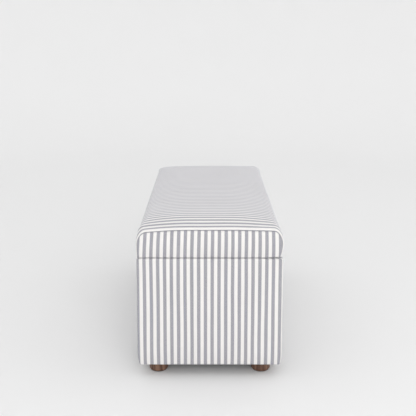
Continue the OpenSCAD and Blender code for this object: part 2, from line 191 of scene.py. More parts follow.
def ring_index(rows, columns):
    """Point numbers of a grid whose rows close on themselves."""
    return [row + [row[0]] for row in grid_index(rows, columns)]


def normals_of(mesh):
    normals = np.zeros(len(mesh.vertices) * 3, np.float32)
    mesh.vertices.foreach_get("normal", normals)
    return normals.reshape(-1, 3)


def move_points(mesh, points):
    mesh.vertices.foreach_set("co", points.astype(np.float32).ravel())


def cloth_thickness(piece, thickness=CLOTH_T):
    solid = piece.modifiers.new("Thickness", "SOLIDIFY")
    solid.thickness = thickness
    solid.offset = -1
    return solid


def lengths_along(points):
    """Distance of each point of a line from its first one, along the line."""
    return np.concatenate([[0], np.cumsum(np.linalg.norm(np.diff(points, axis=0), axis=1))])


def clamped(value):
    return np.clip(value, 0, 1)


def unevenness(points, scale, seed):
    """Smooth noise from -1 to 1 at each point, with features about scale metres across."""
    shift = Vector((seed * 7.31, seed * 3.17, seed * 5.77))
    return np.array([noise.noise(Vector(p) / scale + shift) for p in points])


def spread(a, b, n):
    """n + 1 values from a to b."""
    return np.linspace(a, b, n + 1)


# ---- Materials ----

def set_inputs(node, **values):
    """Sets sockets by name, with _ for each space."""
    for socket, value in values.items():
        node.inputs[socket.replace("_", " ")].default_value = value
    return node


class Material:
    """A node material, with short ways to add nodes."""

    def __init__(self, name):
        self.material = bpy.data.materials.new(name)
        self.material.use_nodes = True
        self.tree = self.material.node_tree
        self.shader = self.tree.nodes["Principled BSDF"]

    def set(self, **values):
        set_inputs(self.shader, **values)

    def link(self, socket, value):
        if isinstance(value, bpy.types.NodeSocket):
            self.tree.links.new(value, socket)
        else:
            socket.default_value = value

    def node(self, kind, *values, **settings):
        made = self.tree.nodes.new(kind)
        for key, value in settings.items():
            setattr(made, key, value)
        for i, value in enumerate(values):
            if value is not None:
                self.link(made.inputs[i], value)
        return made

    def math(self, operation, *values):
        return self.node("ShaderNodeMath", *values, operation=operation).outputs[0]

    def add(self, a, b):
        return self.math("ADD", a, b)

    def minus(self, a, b):
        return self.math("SUBTRACT", a, b)

    def times(self, a, b):
        return self.math("MULTIPLY", a, b)

    def place(self):
        """Coordinates in metres in the object's own frame."""
        return self.node("ShaderNodeTexCoord").outputs["Object"]

    def stretched(self, vector, scale):
        return set_inputs(self.node("ShaderNodeMapping", vector), Scale=scale).outputs[0]

    def noise(self, vector, scale, detail=2.0, roughness=0.5):
        made = self.node("ShaderNodeTexNoise", vector)
        return set_inputs(made, Scale=scale, Detail=detail, Roughness=roughness).outputs["Fac"]

    def grain(self, vector, stretch, detail=2.0, roughness=0.5):
        """Noise with its own scale along each axis."""
        return self.noise(self.stretched(vector, stretch), 1.0, detail, roughness)

    def ramp(self, value, *stops):
        """Colours at places from 0 to 1."""
        made = self.node("ShaderNodeValToRGB", value)
        elements = made.color_ramp.elements
        while len(elements) < len(stops):
            elements.new(0.5)
        for element, (place, colour) in zip(elements, stops):
            element.position = place
            element.color = (*colour, 1)
        return made.outputs[0]

    def range(self, value, low, high, to_low=0.0, to_high=1.0):
        made = self.node("ShaderNodeMapRange", value)
        for i, number in enumerate((low, high, to_low, to_high)):
            made.inputs[i + 1].default_value = number
        return made.outputs[0]

    def mix(self, factor, a, b, blend="MIX"):
        made = self.node("ShaderNodeMix", data_type="RGBA", blend_type=blend)
        for socket, value in zip((made.inputs[0], made.inputs[6], made.inputs[7]), (factor, a, b)):
            if isinstance(value, tuple):
                value = (*value, 1)
            self.link(socket, value)
        return made.outputs[2]

    def bump(self, height, strength, distance, under=None):
        made = set_inputs(self.node("ShaderNodeBump"), Strength=strength, Distance=distance)
        self.link(made.inputs["Height"], height)
        if under is not None:
            self.link(made.inputs["Normal"], under)
        return made.outputs[0]

    def finish(self, colour, roughness=None, normal=None):
        self.link(self.shader.inputs["Base Color"], colour)
        if roughness is not None:
            self.link(self.shader.inputs["Roughness"], roughness)
        if normal is not None:
            self.link(self.shader.inputs["Normal"], normal)
        return self.material


def striped_fabric(name, seat=None):
    """Plain-woven cotton: white stripes between stripes of blue-grey warp crossed by white weft.

    seat is the length and the girth of a cover whose stripes are softer on the flat of the seat.
    """
    m = Material(name)
    thread = 0.00055
    uv = m.node("ShaderNodeUVMap", uv_map="Fabric").outputs[0]
    wander = m.range(m.grain(uv, (14, 5, 1), 1.0), 0.25, 0.75, -0.0005, 0.0005)
    axes = m.node("ShaderNodeSeparateXYZ", uv)
    across = m.add(axes.outputs[0], wander)
    along = axes.outputs[1]

    # 0 in the middle of a white stripe, 0.5 in the middle of a grey one
    phase = m.math("DIVIDE", across, STRIPE_PITCH)
    from_white = m.math("PINGPONG", phase, 0.5)
    edge = 0.018
    grey = m.range(from_white, 0.25 - edge, 0.25 + edge)
    if seat is not None:
        inwards = [m.minus(far / 2, m.math("ABSOLUTE", m.minus(axis, far / 2)))
                   for far, axis in zip(seat, (axes.outputs[0], along))]
        flat = m.times(m.range(inwards[0], 0.09, 0.20), m.range(inwards[1], 0.12, 0.17))
        softer = m.times(flat, SEAT_SOFTENING)
        grey = m.add(grey, m.times(softer, m.minus(0.5, grey)))

    warp = m.math("DIVIDE", across, thread)
    weft = m.math("DIVIDE", along, thread)
    warp_round = m.math("SINE", m.times(m.math("FRACT", warp), pi))
    weft_round = m.math("SINE", m.times(m.math("FRACT", weft), pi))
    crossing = m.add(m.math("FLOOR", warp), m.math("FLOOR", weft))
    weft_over = m.math("MODULO", m.math("ABSOLUTE", crossing), 2.0)
    over = m.times(weft_over, weft_round)
    weave = m.add(over, m.times(m.minus(1.0, weft_over), warp_round))

    # Each warp yarn keeps its own shade along its length, and has thicker and thinner stretches
    yarn = m.grain(uv, (900, 4, 1), 2.0, 0.6)
    slub = m.grain(uv, (700, 60, 1), 2.0, 0.6)
    patch = m.noise(uv, 9.0, 2.0)
    hue = m.grain(uv, (260, 3, 1), 1.0)
    bluer, redder, greener = (0.272, 0.285, 0.346), (0.286, 0.278, 0.316), (0.280, 0.290, 0.309)
    grey_yarn = m.ramp(hue, (0.3, bluer), (0.5, redder), (0.7, greener))
    grey_yarn = m.mix(m.range(yarn, 0.3, 0.7, 0.0, 0.55), grey_yarn, (0.375, 0.366, 0.400))
    grey_cloth = m.mix(m.times(over, 0.42), grey_yarn, (0.70, 0.69, 0.69))
    white_yarn = m.ramp(slub, (0.3, (0.780, 0.762, 0.742)), (0.7, (0.820, 0.803, 0.788)))
    colour = m.mix(grey, white_yarn, grey_cloth)
    # Random mottling, and painted shade in the hollows of the weave: the colour darkens where the threads
    # lie low
    shade = m.range(patch, 0.3, 0.7, 0.975, 1.0)
    shade = m.times(shade, m.range(weave, 0.0, 1.0, 0.93, 1.0))
    shade_colour = m.node("ShaderNodeCombineColor", shade, shade, shade).outputs[0]
    colour = m.mix(1.0, colour, shade_colour, "MULTIPLY")

    creases = m.bump(m.grain(uv, (34, 20, 1), 3.0), 0.35, 0.0012)
    slubs = m.bump(slub, 0.25, 0.0003, creases)
    threads = m.bump(weave, 0.5, 0.00018, slubs)
    m.set(Sheen_Weight=0.45, Sheen_Roughness=0.35, Sheen_Tint=(0.90, 0.92, 1.0, 1))
    m.set(Specular_IOR_Level=0.15)
    return m.finish(colour, m.range(slub, 0.3, 0.7, 0.84, 0.94), threads)


def plain_cloth(name, dark, light, thread=0.0006, bumpiness=0.5):
    """A plain-woven cloth of one colour, with its threads along X, Y and Z of the object."""
    m = Material(name)
    place = m.place()
    axes = m.node("ShaderNodeSeparateXYZ", place).outputs
    waves = [m.math("SINE", m.times(axis, pi / thread)) for axis in axes]
    weave = m.range(m.add(m.add(waves[0], waves[1]), waves[2]), -2.0, 2.0, 0.0, 1.0)
    fibres = m.noise(place, 900.0, 3.0, 0.6)
    patch = m.noise(place, 12.0, 3.0)
    # Random fibre flecks and painted shade in the hollows of the weave: the colour is darker where the
    # threads lie low
    fleck_and_weave_shade = m.add(m.times(fibres, 0.6), m.times(weave, 0.4))
    colour = m.mix(fleck_and_weave_shade, dark, light)
    colour = m.mix(m.range(patch, 0.3, 0.7, 0.0, 0.25), colour, dark)
    creases = m.bump(m.noise(place, 30.0, 3.0), 0.3, 0.002)
    threads = m.bump(fleck_and_weave_shade, bumpiness, 0.0003, creases)
    m.set(Sheen_Weight=0.1, Specular_IOR_Level=0.2)
    return m.finish(colour, m.range(fibres, 0.3, 0.7, 0.82, 0.96), threads)


def turned_wood():
    """Dark stained wood turned with its grain upright, with open pores and a worn satin finish."""
    m = Material("turned_wood")
    place = m.place()
    bend = m.grain(place, (9, 9, 3))
    upright = m.stretched(place, (1.0, 0.6, 0.08))
    rings = m.node("ShaderNodeTexWave", upright, wave_type="BANDS", bands_direction="X")
    set_inputs(rings, Scale=46.0, Distortion=6.0, Detail=3.0, Detail_Scale=1.4)
    figure = m.add(m.times(rings.outputs["Fac"], 0.65), m.times(bend, 0.35))
    dark, middle, light = (0.085, 0.042, 0.028), (0.150, 0.079, 0.052), (0.225, 0.130, 0.086)
    colour = m.ramp(figure, (0.1, dark), (0.5, middle), (0.9, light))
    pores = m.grain(place, (900, 900, 45), 2.0, 0.6)
    pore = m.range(pores, 0.56, 0.70)
    colour = m.mix(m.times(pore, 0.65), colour, (0.050, 0.030, 0.024))
    turning = m.grain(place, (6, 6, 900), 1.0)
    height = m.minus(m.times(turning, 0.3), pore)
    m.set(Specular_IOR_Level=0.3)
    return m.finish(colour, m.range(pores, 0.3, 0.7, 0.38, 0.54), m.bump(height, 0.14, 0.0002))


def plywood():
    """Birch plywood: a pale rotary-cut face, and layers that show on every edge."""
    m = Material("plywood")
    place = m.place()
    layer = m.node("ShaderNodeTexWave", place, wave_type="BANDS", bands_direction="DIAGONAL")
    set_inputs(layer, Scale=42.0, Distortion=0.6)
    grain = m.grain(place, (6, 160, 160), 4.0, 0.6)
    cathedral = m.grain(place, (3, 26, 26))
    figure = m.add(m.times(grain, 0.55), m.times(cathedral, 0.45))
    dark, middle, light = (0.50, 0.34, 0.19), (0.64, 0.47, 0.29), (0.74, 0.58, 0.39)
    colour = m.ramp(figure, (0.32, dark), (0.55, middle), (0.75, light))
    colour = m.mix(m.range(layer.outputs["Fac"], 0.7, 1.0, 0.0, 0.22), colour, (0.36, 0.22, 0.12))
    m.set(Specular_IOR_Level=0.3)
    return m.finish(colour, m.range(grain, 0.3, 0.7, 0.55, 0.75), m.bump(grain, 0.25, 0.0003))


def metal(name, dark, light, roughness, scratches=0.25, metallic=1.0):
    """Metal with drawn scratches, cloudy plating and slightly dulled patches."""
    m = Material(name)
    place = m.place()
    cloud = m.noise(place, 55.0, 3.0)
    drawn = m.grain(place, (2200, 260, 260), 3.0, 0.65)
    grime = m.noise(place, 240.0, 4.0, 0.7)
    colour = m.mix(m.range(cloud, 0.3, 0.7), dark, light)
    colour = m.mix(m.range(grime, 0.58, 0.75, 0.0, 0.35), colour, dark)
    dull = m.add(m.times(drawn, 0.6), m.times(grime, 0.4))
    m.set(Metallic=metallic)
    rough = m.range(dull, 0.3, 0.7, max(roughness - 0.08, 0.04), roughness + 0.12)
    return m.finish(colour, rough, m.bump(drawn, scratches, 0.00006))


def soft_filling(name, dark, light, cell, depth):
    """Foam or wadding: open cells or tangled fibres a few tenths of a millimetre across."""
    m = Material(name)
    place = m.place()
    cells = m.node("ShaderNodeTexVoronoi", place, feature="F1")
    set_inputs(cells, Scale=1 / cell)
    fibres = m.noise(place, 0.7 / cell, 4.0, 0.7)
    loft = m.noise(place, 25.0, 3.0)
    height = m.add(m.times(cells.outputs["Distance"], 0.6), m.times(fibres, 0.4))
    # Painted shade: the colour is darker where the cells and fibres lie low, in their hollows
    colour = m.mix(height, dark, light)
    colour = m.mix(m.range(loft, 0.35, 0.7, 0.0, 0.3), colour, dark)
    m.set(Specular_IOR_Level=0.15, Sheen_Weight=0.1)
    return m.finish(colour, m.range(fibres, 0.3, 0.7, 0.85, 1.0), m.bump(height, 0.6, depth))


def bumper_rubber():
    """Clear soft plastic domes, hazy with fine dust."""
    m = Material("bumper_rubber")
    place = m.place()
    haze = m.noise(place, 700.0, 3.0)
    colour = m.mix(haze, (0.30, 0.30, 0.29), (0.42, 0.42, 0.41))
    m.set(Specular_IOR_Level=0.5, Subsurface_Weight=0.2)
    return m.finish(colour, m.range(haze, 0.3, 0.7, 0.22, 0.42), m.bump(haze, 0.1, 0.0001))


FABRIC = striped_fabric("striped_fabric")
LINING = plain_cloth("lining_cloth", (0.36, 0.355, 0.35), (0.56, 0.55, 0.54), 0.0007)
BACKING = plain_cloth("backing_cloth", (0.012, 0.012, 0.014), (0.045, 0.045, 0.050), 0.0005, 0.7)
FELT = soft_filling("felt", (0.045, 0.036, 0.030), (0.110, 0.090, 0.075), 0.0006, 0.0004)
WADDING = soft_filling("wadding", (0.70, 0.70, 0.68), (0.88, 0.88, 0.87), 0.0015, 0.0010)
FOAM = soft_filling("foam", (0.66, 0.58, 0.36), (0.86, 0.79, 0.56), 0.0008, 0.0004)
WALNUT = turned_wood()
PLYWOOD = plywood()
ZINC = metal("zinc_steel", (0.42, 0.43, 0.44), (0.62, 0.63, 0.65), 0.32)
CHROME = metal("polished_rod", (0.66, 0.67, 0.69), (0.78, 0.79, 0.81), 0.10, 0.10)
DARK_METAL = metal("dark_metal", (0.022, 0.022, 0.025), (0.050, 0.050, 0.055), 0.38, 0.2, 0.35)
BUMPER = bumper_rubber()


# ---- Lid covers ----

def parabola_in(distance, run, leave):
    """How far a swollen side has drawn in at a distance from its widest line."""
    return leave * (distance / run) ** 2


def end_x(z):
    """How far out an end of the lid stands at a height."""
    straight = np.maximum(z, LID_Z + EDGE_R)
    swollen = LID_HALF.x - parabola_in(straight - LID_Z - END_SWELL_H, END_SWELL_H, END_TUCK)
    below = np.clip(LID_Z + EDGE_R - z, 0, EDGE_R)
    return swollen - EDGE_R + np.sqrt(EDGE_R**2 - below**2)


def side_y(z, tuck):
    """How far out a long side of the lid stands at a height."""
    return LID_HALF.y - parabola_in(z - LID_Z - SIDE_SWELL_H, SIDE_SWELL_H, tuck)


def from_corner_centre(y, z):
    """Distances out and up from the centre of the corner, between a side and the arched top, at a seam."""
    tuck = np.where(y < 0, FRONT_TUCK, BACK_TUCK)
    out = np.abs(y) - (side_y(z, tuck) - SIDE_CORNER_W)
    arch = np.where(y < 0, FRONT_ARCH, BACK_ARCH) * (1 - clamped(-out / CROSS_RUN)) ** 2
    return out, z - (SHOULDER_Z - arch - SIDE_CORNER_H)


def bend_r(y, z):
    """Radius over which the cover rolls to an end seam: small at the long sides, larger on the seat."""
    out, up = from_corner_centre(y, z)
    turn = np.arctan2(np.maximum(up, 0) / SIDE_CORNER_H, np.maximum(out, 0) / SIDE_CORNER_W + 1e-9)
    return SIDE_BEND_R + (SEAM_BEND_R - SIDE_BEND_R) * np.sin(turn) ** 2


def crown_rise(distance, run=CROWN_RUN):
    """Share of the seat's full rise at a distance from its edge."""
    return 1 - (1 - clamped(distance / run)) ** 2


def corner_shape(rise, arch):
    """Width, height and top of the corner between a side and the seat, which fills out behind a seam."""
    filled = min(rise / 0.75, 1)
    share = filled**2 * (3 - 2 * filled)
    width = SIDE_CORNER_W + (FULL_CORNER_W - SIDE_CORNER_W) * share
    height = SIDE_CORNER_H + (FULL_CORNER_H - SIDE_CORNER_H) * share
    return width, height, SHOULDER_Z - arch * (1 - share)


HEM_STEPS = 4
EDGE_STEPS = 4
SIDE_STEPS = 8
CORNER_STEPS = 7
HALF_POINTS = HEM_STEPS + EDGE_STEPS + SIDE_STEPS + CORNER_STEPS + 1
EDGE_COLUMNS = [0, 0.006, 0.014, 0.024, 0.038, 0.058, 0.085, 0.12]
HALF_COLUMNS = EDGE_COLUMNS + list(np.linspace(0.16, 1.0, 18))
COLUMNS = np.array([-1 + c for c in HALF_COLUMNS] + [1 - c for c in reversed(HALF_COLUMNS[:-1])])


def half_section(rise, tuck, arch):
    """Points (out, z) from a hem's inner edge, round the bottom edge and up to the start of the crown."""
    edge_z = LID_Z + EDGE_R
    edge_y = side_y(edge_z, tuck) - EDGE_R
    hem = [(y, LID_Z) for y in spread(LID_CLOTH_HALF.y, edge_y, HEM_STEPS)]
    turns = spread(-pi / 2, 0, EDGE_STEPS)[1:]
    edge = [(edge_y + EDGE_R * cos(a), edge_z + EDGE_R * sin(a)) for a in turns]
    corner_w, corner_h, corner_top = corner_shape(rise, arch)
    corner_z = corner_top - corner_h
    corner_y = side_y(corner_z, tuck) - corner_w
    side = [(side_y(z, tuck), z) for z in spread(edge_z, corner_z, SIDE_STEPS)[1:]]
    top = SHOULDER_Z + rise * (TOP_Z - SHOULDER_Z)
    last = pi / 2
    for _ in range(4):  # closes in on the angle where the corner meets the crown's slope
        start_z = corner_z + corner_h * sin(last)
        slope = 2 * (top - start_z) / CROSS_RUN
        last = pi / 2 - atan(slope * corner_w / corner_h)
    turns = spread(0, last, CORNER_STEPS)[1:]
    corner = [(corner_y + corner_w * cos(a), corner_z + corner_h * sin(a)) for a in turns]
    return np.array(hem + edge + side + corner)


def lid_section(rise):
    """Points (y, z) of the whole section, from the front hem over the seat to the back hem."""
    front = half_section(rise, FRONT_TUCK, FRONT_ARCH) * [-1, 1]
    back = half_section(rise, BACK_TUCK, BACK_ARCH)
    top = SHOULDER_Z + rise * (TOP_Z - SHOULDER_Z)
    y = front[-1, 0] + (back[-1, 0] - front[-1, 0]) * (COLUMNS[1:-1] + 1) / 2
    near_edge = np.minimum(y - front[-1, 0], back[-1, 0] - y)
    start = np.interp(y, [front[-1, 0], back[-1, 0]], [front[-1, 1], back[-1, 1]])
    z = start + (top - start) * crown_rise(near_edge, CROSS_RUN)
    return np.vstack([front, np.column_stack([y, z]), back[::-1]])


def outward(section):
    """Unit normals of an open section, pointing out of the lid."""
    along = np.gradient(section, axis=0)
    normal = np.column_stack([-along[:, 1], along[:, 0]])
    return normal / np.linalg.norm(normal, axis=1)[:, None]


SECTION_POINTS = 2 * HALF_POINTS + len(COLUMNS) - 2
CURL_ANGLES = list(SEAM_ANGLE * np.array([1.0, 0.86, 0.62, 0.38, 0.18, 0.0]))
END_RUN = [0.0025, 0.006, 0.010, 0.015, 0.021, 0.028, 0.036,
           0.045, 0.055, 0.065, 0.075, 0.085, 0.095]
MIDDLE_ROWS = 80


def hem_share():
    """1 on the turned-in hem, 0 on the sides and the seat, in between round the bottom edge."""
    share = np.zeros(SECTION_POINTS)
    share[:HEM_STEPS + 1] = 1
    share[HEM_STEPS:HEM_STEPS + EDGE_STEPS + 1] = spread(1, 0, EDGE_STEPS)
    return np.maximum(share, share[::-1])


def mitre_x(section):
    """Where a hem ends along X, on the mitred join with the end panel's hem."""
    edge_x = end_x(np.array([LID_Z]))[0]
    tuck = np.where(section[:, 0] < 0, FRONT_TUCK, BACK_TUCK)
    edge_y = side_y(LID_Z + EDGE_R, tuck) - EDGE_R
    shrink = (edge_x - LID_CLOTH_HALF.x) / (edge_y - LID_CLOTH_HALF.y)
    return edge_x - np.clip(edge_y - np.abs(section[:, 0]), 0, None) * shrink


def lid_row(share, angle, dip=0.0):
    """One row of the top cover, at a share of the way to an end, curled over the seam by an angle."""
    end_section = lid_section(0)
    roll = bend_r(end_section[:, 0], end_section[:, 1])
    curl_start = end_x(end_section[:, 1]) - roll
    hem = hem_share()
    middle = HALF_POINTS + len(COLUMNS) // 2
    rise = crown_rise((1 - abs(share)) * curl_start[middle])
    section = lid_section(float(rise)) if not angle else end_section
    normal = outward(section)
    out_in = roll * (1 - cos(angle)) + dip
    yz = section - normal * (out_in * (1 - hem))[:, None]
    x = (curl_start + roll * sin(angle) - dip) * (1 - hem)
    progress = angle / SEAM_ANGLE
    x += (mitre_x(section) - roll * (1 - progress)) * hem
    sign = 1 if share >= 0 else -1
    return np.column_stack([x * (share if not angle else sign), yz])


def top_rows():
    """(share, angle) of every row of the top cover, from the right end seam to the left one."""
    curl = [(1.0, a) for a in CURL_ANGLES]
    length = end_x(np.array([SHOULDER_Z]))[0] - SEAM_BEND_R
    near = [(1 - d / length, 0.0) for d in END_RUN]
    last = near[-1][0]
    middle = [(s, 0.0) for s in np.linspace(last, -last, MIDDLE_ROWS)[1:-1]]
    return curl + near + middle + [(-s, a) for s, a in reversed(curl + near)]


def top_cover_grid():
    """Points and fabric coordinates of the top cover, row by row."""
    rows = top_rows()
    points = []
    for i, (share, angle) in enumerate(rows):
        seam = i in (0, len(rows) - 1)
        row = lid_row(abs(share), angle, SEAM_DIP if seam else 0.0)
        if i >= len(rows) // 2:
            row = row * [-1, 1, 1]
        points.append(row)
    points = np.array(points)
    middle = HALF_POINTS + len(COLUMNS) // 2
    along = lengths_along(points[:, middle])
    bulge = points[:, :, 0] - points[:, middle, 0][:, None]
    from_seam = np.minimum(along, along[-1] - along)
    straight = clamped((from_seam - 0.01) / 0.12)
    u = along[:, None] - bulge * straight[:, None] - TOP_STRIPE_START
    v = lengths_along(points[len(rows) // 2])
    uv = np.dstack([u, np.broadcast_to(v, u.shape)])
    return points, uv


def distance_in(y, z):
    """How far a point of an end panel lies inside the end's outline."""
    q_y, q_z = from_corner_centre(y, z)
    in_corner = (q_y > 0) & (q_z > 0)
    share = np.maximum(np.hypot(q_y / SIDE_CORNER_W, q_z / SIDE_CORNER_H), 1e-6)
    from_corner = (1 / share - 1) * np.hypot(q_y, q_z)
    return np.where(in_corner, from_corner, np.minimum(SIDE_CORNER_W - q_y, SIDE_CORNER_H - q_z))


def end_panel_grid(seam):
    """Points and fabric coordinates of an end panel within a seam row, from its hem up to its top."""
    front = seam[:HALF_POINTS]
    back = seam[::-1][:HALF_POINTS]
    top = seam[HALF_POINTS - 1:-(HALF_POINTS - 1)]
    share = (COLUMNS + 1) / 2
    grid = front[:, None] + (back - front)[:, None] * share[None, :, None]
    grid[-1] = top
    y, z = grid[1:-1, 1:-1, 1], grid[1:-1, 1:-1, 2]
    roll = bend_r(y, z)
    inside = np.clip(distance_in(y, z), 0, roll)
    x = end_x(z) - roll + np.sqrt(roll**2 - (roll - inside) ** 2)
    hem = hem_share()[1:HALF_POINTS - 1, None]
    grid[1:-1, 1:-1, 0] = np.where(hem >= 1, grid[1:-1, 1:-1, 0], x)
    grid[0, :, 0] = LID_CLOTH_HALF.x
    up = lengths_along(grid[:, len(COLUMNS) // 2])
    height = (grid[:, :, 2] - LID_Z) / SEAM_H
    u = grid[:, :, 1] * (1 + END_STRIPE_GATHER * height)
    u = u + END_STRIPE_SHIFT - END_STRIPE_LEAN * height
    return grid, np.dstack([u, np.broadcast_to(up[:, None], u.shape)])


def filled_out(points, faces, pinned):
    """The covers blown up against their pinned seams by a cloth simulation, from a slightly small start."""
    mesh = bpy.data.meshes.new("cover_sim")
    mesh.from_pydata([tuple(p) for p in points], [], faces)
    cover = placed("cover_sim", mesh)
    mesh.update()
    start = points - normals_of(mesh) * (SIM_SWELL * (1 - pinned))[:, None]
    move_points(mesh, start)
    mesh.update()
    held = cover.vertex_groups.new(name="held")
    for i in np.nonzero(pinned > 0)[0]:
        held.add([int(i)], float(pinned[i]), "REPLACE")
    settings = cover.modifiers.new("Cloth", "CLOTH").settings
    for name, value in CLOTH_SETTINGS.items():
        setattr(settings, name, value)
    settings.effector_weights.gravity = 0
    settings.vertex_group_mass = "held"
    scene = bpy.context.scene
    for number in range(1, SIM_FRAMES + 1):
        scene.frame_set(number)
    graph = bpy.context.evaluated_depsgraph_get()
    done = np.zeros(len(points) * 3, np.float32)
    cover.evaluated_get(graph).data.vertices.foreach_get("co", done)
    moved = done.reshape(-1, 3) - start
    limit = np.minimum(1, SIM_CAP / np.maximum(np.linalg.norm(moved, axis=1), 1e-9))
    scene.frame_set(1)
    bpy.data.objects.remove(cover)
    return start + moved * limit[:, None]


def evened_out(moves, faces, pinned):
    """Moves of a mesh's points, averaged with their neighbours' again and again. Pinned points stay."""
    links = np.array([(face[k], face[k - 1]) for face in faces for k in range(len(face))])
    links = np.vstack([links, links[:, ::-1]])
    count = np.bincount(links[:, 0], minlength=len(moves))[:, None]
    for _ in range(SIM_ROUNDS):
        nearby = [np.bincount(links[:, 0], axis, len(moves)) for axis in moves[links[:, 1]].T]
        moves = (moves + np.column_stack(nearby) / count) / 2 * (1 - pinned)[:, None]
    return moves


def edge_droop(points):
    """How far the padded bottom edge hangs below the board, along the front and the ends."""
    from_end = LID_HALF.x - END_TUCK - np.abs(points[:, 0])
    inside = np.minimum(from_end, points[:, 1] + LID_HALF.y - FRONT_TUCK)
    across = clamped(1 - np.abs(inside - EDGE_DROOP_W / 2) / EDGE_DROOP_W)
    upwards = clamped(1 - (points[:, 2] - LID_Z) / (3 * EDGE_R))
    from_back = clamped((LID_HALF.y - 0.020 - points[:, 1]) / HINGE_SIDE_FADE)
    return EDGE_DROOP * np.sin(across * pi / 2) ** 2 * upwards * from_back


top_points, top_uv = top_cover_grid()
right_points, end_uv = end_panel_grid(top_points[0])
left_points, _ = end_panel_grid(top_points[-1] * [-1, 1, 1])
left_points = left_points * [-1, 1, 1]
left_uv = end_uv * [-1, 1]


def sewn_together():
    """The three lid covers as one mesh: points, faces, and each cover's table of point numbers."""
    top_index = np.array(grid_index(*top_points.shape[:2]))
    points = [top_points.reshape(-1, 3)]
    count = top_index.size
    tables = [top_index]
    for panel, seam_row in ((right_points, 0), (left_points, -1)):
        rows, columns = panel.shape[:2]
        table = -np.ones((rows, columns), int)
        seam = top_index[seam_row]
        table[:, 0] = seam[:HALF_POINTS]
        table[:, -1] = seam[::-1][:HALF_POINTS]
        table[-1] = seam[HALF_POINTS - 1:-(HALF_POINTS - 1)]
        free = table < 0
        table[free] = count + np.arange(free.sum())
        points.append(panel[free])
        count += int(free.sum())
        tables.append(table)
    faces = [f for i in range(3) for f in grid_faces(tables[i].tolist(), flip=i == 2)]
    return np.vstack(points), faces, tables


lid_points, lid_faces, lid_tables = sewn_together()
pinned = np.zeros(len(lid_points))
pinned[lid_points[:, 2] < LID_Z + 0.0005] = 1.0
seams = lid_tables[0][[0, -1]].ravel()
pinned[seams] = 1.0
to_seam = np.full(len(lid_points), 1.0)
for row in seams.reshape(2, -1):
    gaps = lid_points[:, None] - lid_points[row][None]
    to_seam = np.minimum(to_seam, np.linalg.norm(gaps, axis=2).min(1))
filled = filled_out(lid_points, lid_faces, pinned)
moves = evened_out(filled - lid_points, lid_faces, pinned)
lid_points += moves * clamped(to_seam / SIM_FADE - SIM_STILL)[:, None]
seat_waves = SEAT_WAVE * unevenness(lid_points, 0.11, 1) * (1 - pinned)
lid_points[:, 2] += seat_waves * (lid_points[:, 2] > LID_Z + SEAM_H)
lid_points[:, 2] -= edge_droop(lid_points)


def lid_cover(name, table, uv, flip, replaces, material=FABRIC):
    """One of the covers that were simulated together, as its own piece of cloth."""
    faces = grid_faces(grid_index(*table.shape), flip)
    piece = new_piece(name, lid_points[table.ravel()], faces, material, "lid",
                      (replaces,), uv.reshape(-1, 2))
    smooth = piece.modifiers.new("Smooth", "SUBSURF")
    smooth.levels = smooth.render_levels = 1
    cloth_thickness(piece)


seat_fabric = striped_fabric("seat_fabric", top_uv.reshape(-1, 2).max(0).tolist())
lid_cover("seat_cover", lid_tables[0], top_uv, False, "lid_top_cover", seat_fabric)
lid_cover("right_end_panel_cover", lid_tables[1], end_uv, False, "right_end_cover")
lid_cover("left_end_panel_cover", lid_tables[2], left_uv, True, "left_end_cover")


# ---- Body cover ----

CORNER_POINTS = 8
RING_SPACING = 0.007


def plan_ring(inset):
    """Points (x, y) and distances round the body's plan, moved in by inset, from the back left corner."""
    half = BODY_HALF - Vector((inset, inset))
    r = max(BODY_CORNER_R - inset, SHARPEST_R)
    outer = BODY_HALF - Vector((BODY_CORNER_R, BODY_CORNER_R))
    straight = half - Vector((r, r))
    corners = [(-1, 1, 90), (1, 1, 90), (1, -1, 0), (-1, -1, -90), (-1, 1, -180)]
    points = []
    distance = [0.0]
    for i in range(1, 5):
        sx, sy, turn = corners[i]
        px, py, _ = corners[i - 1]
        start = Vector((px * straight.x, py * straight.y))
        end = Vector((sx * straight.x, sy * straight.y))
        out = Vector((cos(radians(turn)), sin(radians(turn))))
        full = 2 * (outer.x if i % 2 else outer.y)
        steps = round(full / RING_SPACING)
        for k in range(steps):
            points.append(start.lerp(end, k / steps) + out * r)
            distance.append(distance[-1] + full / steps)
        for k in range(CORNER_POINTS):
            a = radians(turn - 90 * k / CORNER_POINTS)
            points.append(end + Vector((cos(a), sin(a))) * r)
            distance.append(distance[-1] + BODY_CORNER_R * pi / 2 / CORNER_POINTS)
    points.append(points[0].copy())
    return np.array([tuple(p) for p in points]), np.array(distance)


def body_section():
    """(inset, z) from the bottom of the flap inside, over the rim, down the wall and in under the body."""
    quarter = spread(0, pi / 2, 4)[1:]
    r = INNER_RIM_R
    flap = [(MOUTH_IN, z) for z in spread(RIM_Z - FLAP_H, RIM_Z - r, 4)]
    inner = [(MOUTH_IN - r * (1 - cos(a)), RIM_Z - r * (1 - sin(a))) for a in quarter]
    flat = [(d, RIM_Z) for d in spread(MOUTH_IN - r, RIM_R, 4)[1:]]
    r = RIM_R
    turns = spread(pi / 2, 0, 7)[1:]
    outer = [(r * (1 - cos(a)), RIM_Z - r * (1 - sin(a))) for a in turns]
    tuck_top = UNDERSIDE_Z + HEM_TUCK_H
    wall = [(0, z) for z in spread(RIM_Z - r, tuck_top, 34)[1:]]
    r = HEM_EDGE_R
    low = UNDERSIDE_Z + r
    tuck = [(parabola_in(tuck_top - z, HEM_TUCK_H, HEM_TUCK), z) for z in spread(tuck_top, low, 7)[1:]]
    edge_in = tuck[-1][0] + r
    edge = [(edge_in - r * cos(a), low - r * sin(a)) for a in quarter]
    hem = [(d, UNDERSIDE_Z) for d in spread(edge_in, HEM_TUCK + HEM_W, 4)[1:]]
    return np.array(flap + inner + flat + outer + wall + tuck + edge + hem)


